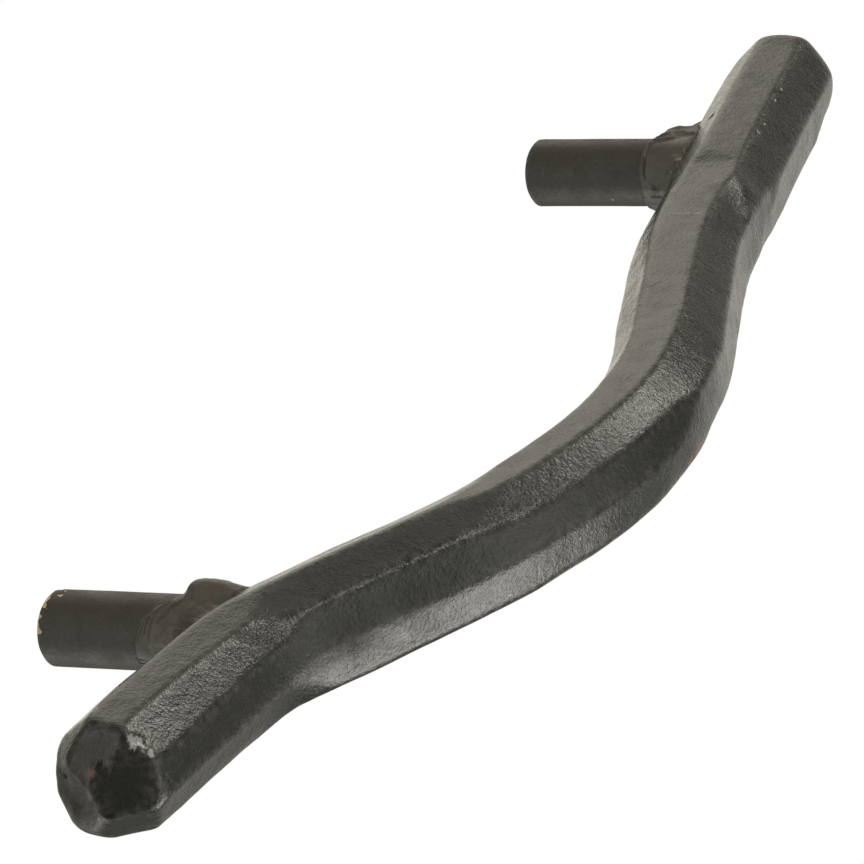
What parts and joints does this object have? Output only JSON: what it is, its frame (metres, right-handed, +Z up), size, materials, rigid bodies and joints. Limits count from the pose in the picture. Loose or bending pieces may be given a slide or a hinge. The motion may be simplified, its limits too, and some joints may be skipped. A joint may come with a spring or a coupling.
{
  "type": "forged bow pull handle",
  "caption": "Hand-forged bow pull: a hammered, octagonal bar with an off-centre bow, welded to two round posts with threaded holes in their door ends.",
  "frame": {"origin": "on the door face, midway between the axes of the two posts", "axes": "+Z up along the row of posts, -Y out from the door towards the hand, +X to the right of someone facing the door"},
  "size_m": [0.0213, 0.0817, 0.2875],
  "materials": {
    "bar_coating": "satin black coat over hammered steel",
    "post_coating": "satin black coat over smooth round steel",
    "weld_coating": "satin black coat over weld metal"
  },
  "bodies": {
    "root": {"grip_bar": "bar_coating", "upper_post": "post_coating", "lower_post": "post_coating", "upper_weld_front_run": "weld_coating", "upper_weld_back_run": "weld_coating", "lower_weld_front_run": "weld_coating", "lower_weld_back_run": "weld_coating"}
  },
  "joints": []
}
